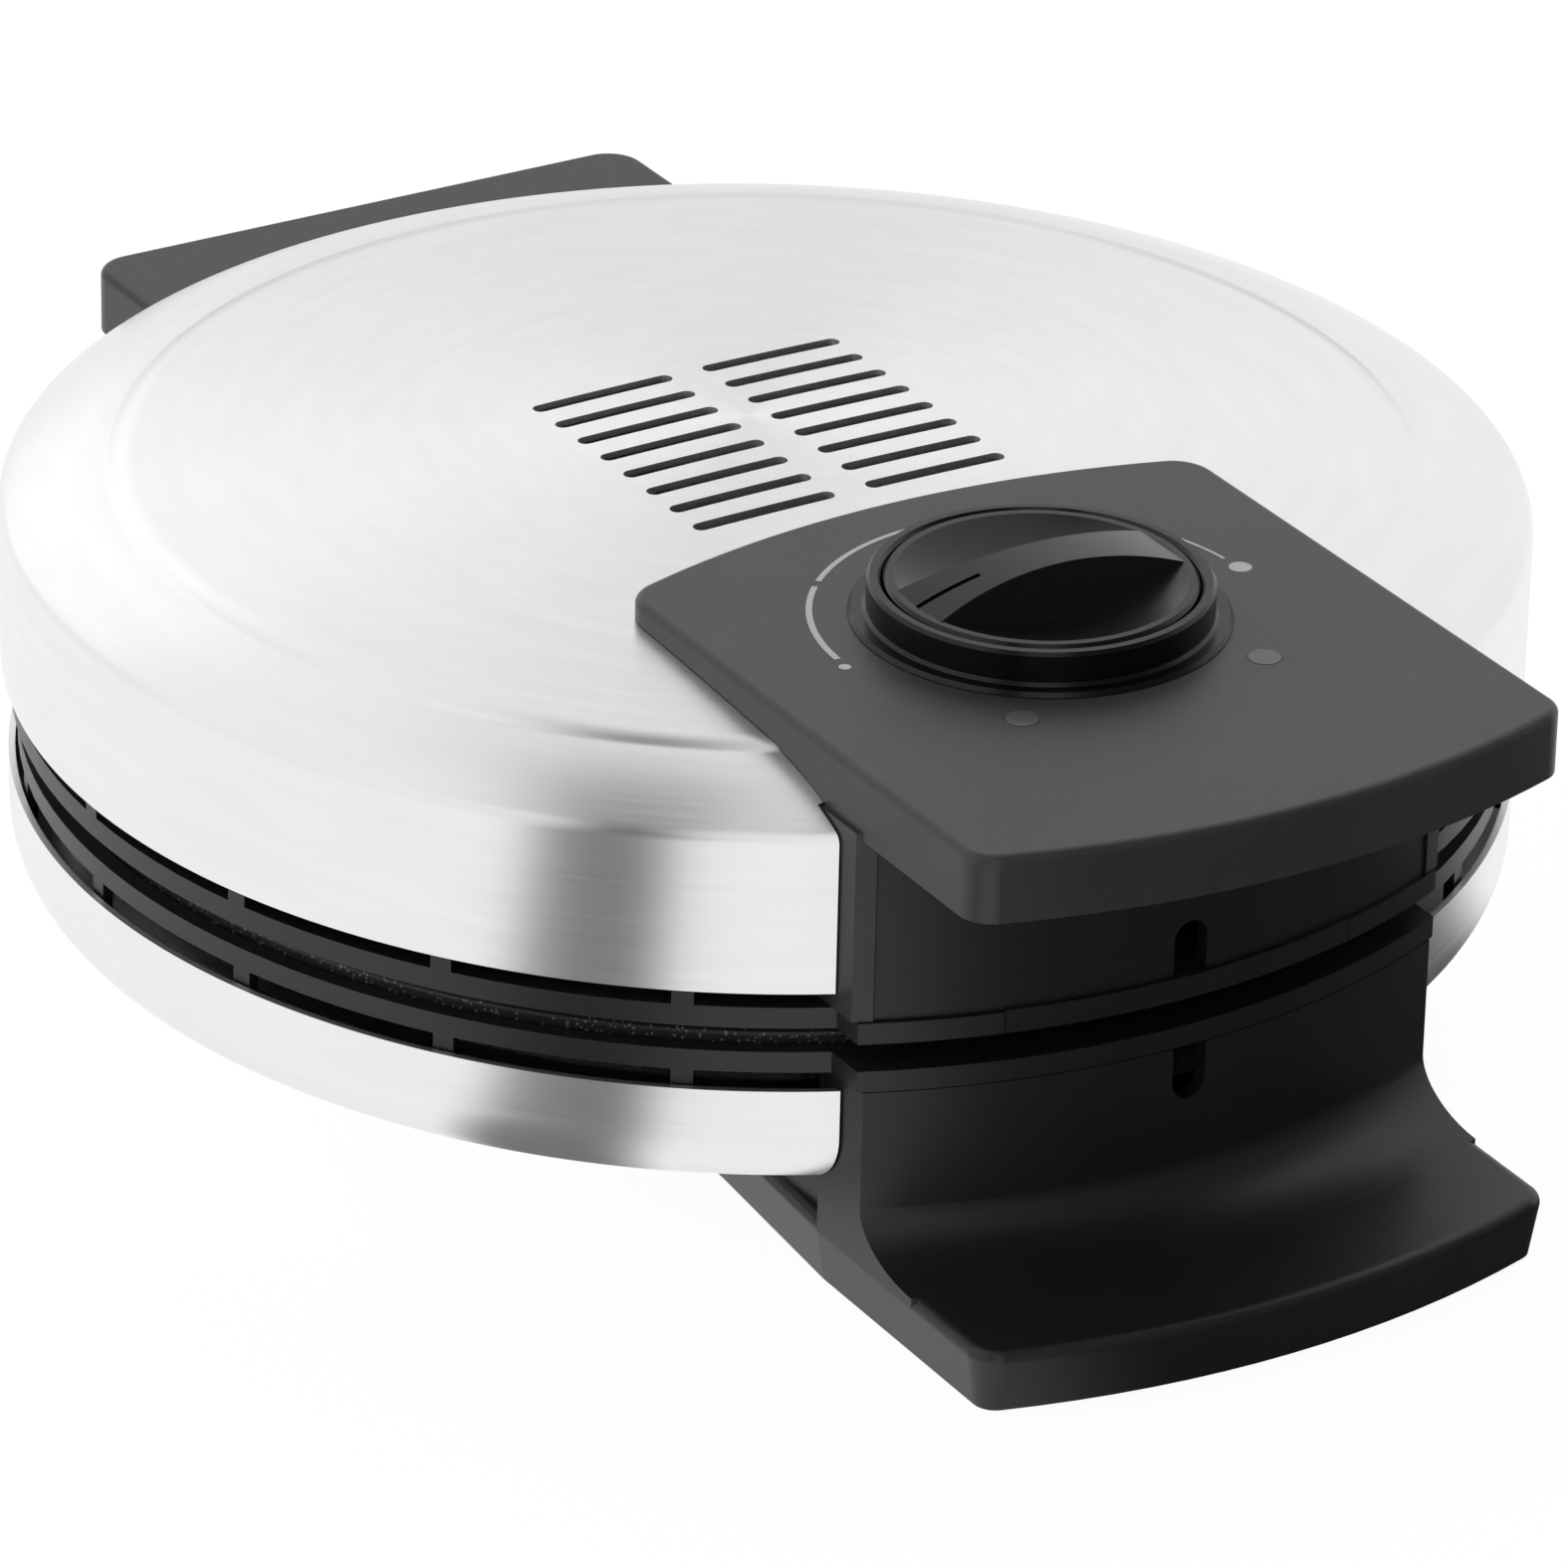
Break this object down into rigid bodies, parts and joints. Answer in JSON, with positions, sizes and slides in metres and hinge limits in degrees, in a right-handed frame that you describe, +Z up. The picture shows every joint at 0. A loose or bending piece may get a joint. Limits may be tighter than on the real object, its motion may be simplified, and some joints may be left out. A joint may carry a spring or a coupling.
{
  "type": "heart waffle iron",
  "caption": "Round countertop waffle iron with a hinged lid, heart-shaped plates, brushed steel skins, black handles and a browning dial.",
  "frame": {"origin": "on the vertical axis of the round body, on the surface that the feet stand on", "axes": "+Z up, -Y towards the handles and the user, +Y towards the lid hinge, +X to the user's right"},
  "size_m": [0.229, 0.2744, 0.0962],
  "materials": {
    "brushed_skin": "spun and brushed stainless sheet",
    "black_moulding": "satin black moulded plastic",
    "panel_moulding": "satin dark grey moulded plastic",
    "dial_gloss": "glossy black moulded plastic",
    "lens_grey": "smoky translucent lens",
    "plate_coating": "die-cast aluminium with a dark non-stick coating",
    "bright_sheet": "pressed aluminium sheet",
    "heater_metal": "steel tube darkened by heat",
    "steel_part": "plain bright steel",
    "foot_rubber": "soft black rubber",
    "board_green": "circuit board",
    "terminal_white": "white ceramic-like block"
  },
  "bodies": {
    "base": {"base_frame": "black_moulding", "bottom_cover": "black_moulding", "rubber_feet": "foot_rubber", "bottom_screws": "steel_part", "lower_shell": "brushed_skin", "lower_reflector": "bright_sheet", "lower_heater": "heater_metal", "lower_plate": "plate_coating", "lower_plate_screws": "steel_part", "lower_ring": "black_moulding", "hinge_housing": "black_moulding", "hinge_pin": "steel_part", "cord_gland": "foot_rubber", "terminal_block": "terminal_white"},
    "lid": {"lid_shell": "brushed_skin", "upper_ring": "black_moulding", "upper_plate": "plate_coating", "upper_heater": "heater_metal", "upper_reflector": "bright_sheet", "upper_plate_screws": "steel_part", "control_housing": "panel_moulding", "front_cover": "black_moulding", "dial_bezel": "dial_gloss", "left_lamp_lens": "lens_grey", "right_lamp_lens": "lens_grey", "lamp_board": "board_green", "thermostat": "steel_part", "thermostat_bracket": "bright_sheet", "hinge_cover": "black_moulding"},
    "dial": {"dial_cap": "dial_gloss", "thermostat_shaft": "steel_part"}
  },
  "joints": [
    {"name": "lid_hinge", "type": "hinge", "parent": "base", "child": "lid", "pos_m": [0, 0.12, 0.04225], "axis": [-1, 0, 0], "range_deg": [0, 100]},
    {"name": "dial_turn", "type": "hinge", "parent": "lid", "child": "dial", "pos_m": [0, -0.0757, 0.09], "axis": [0, 0, -1], "range_deg": [0, 180]}
  ]
}
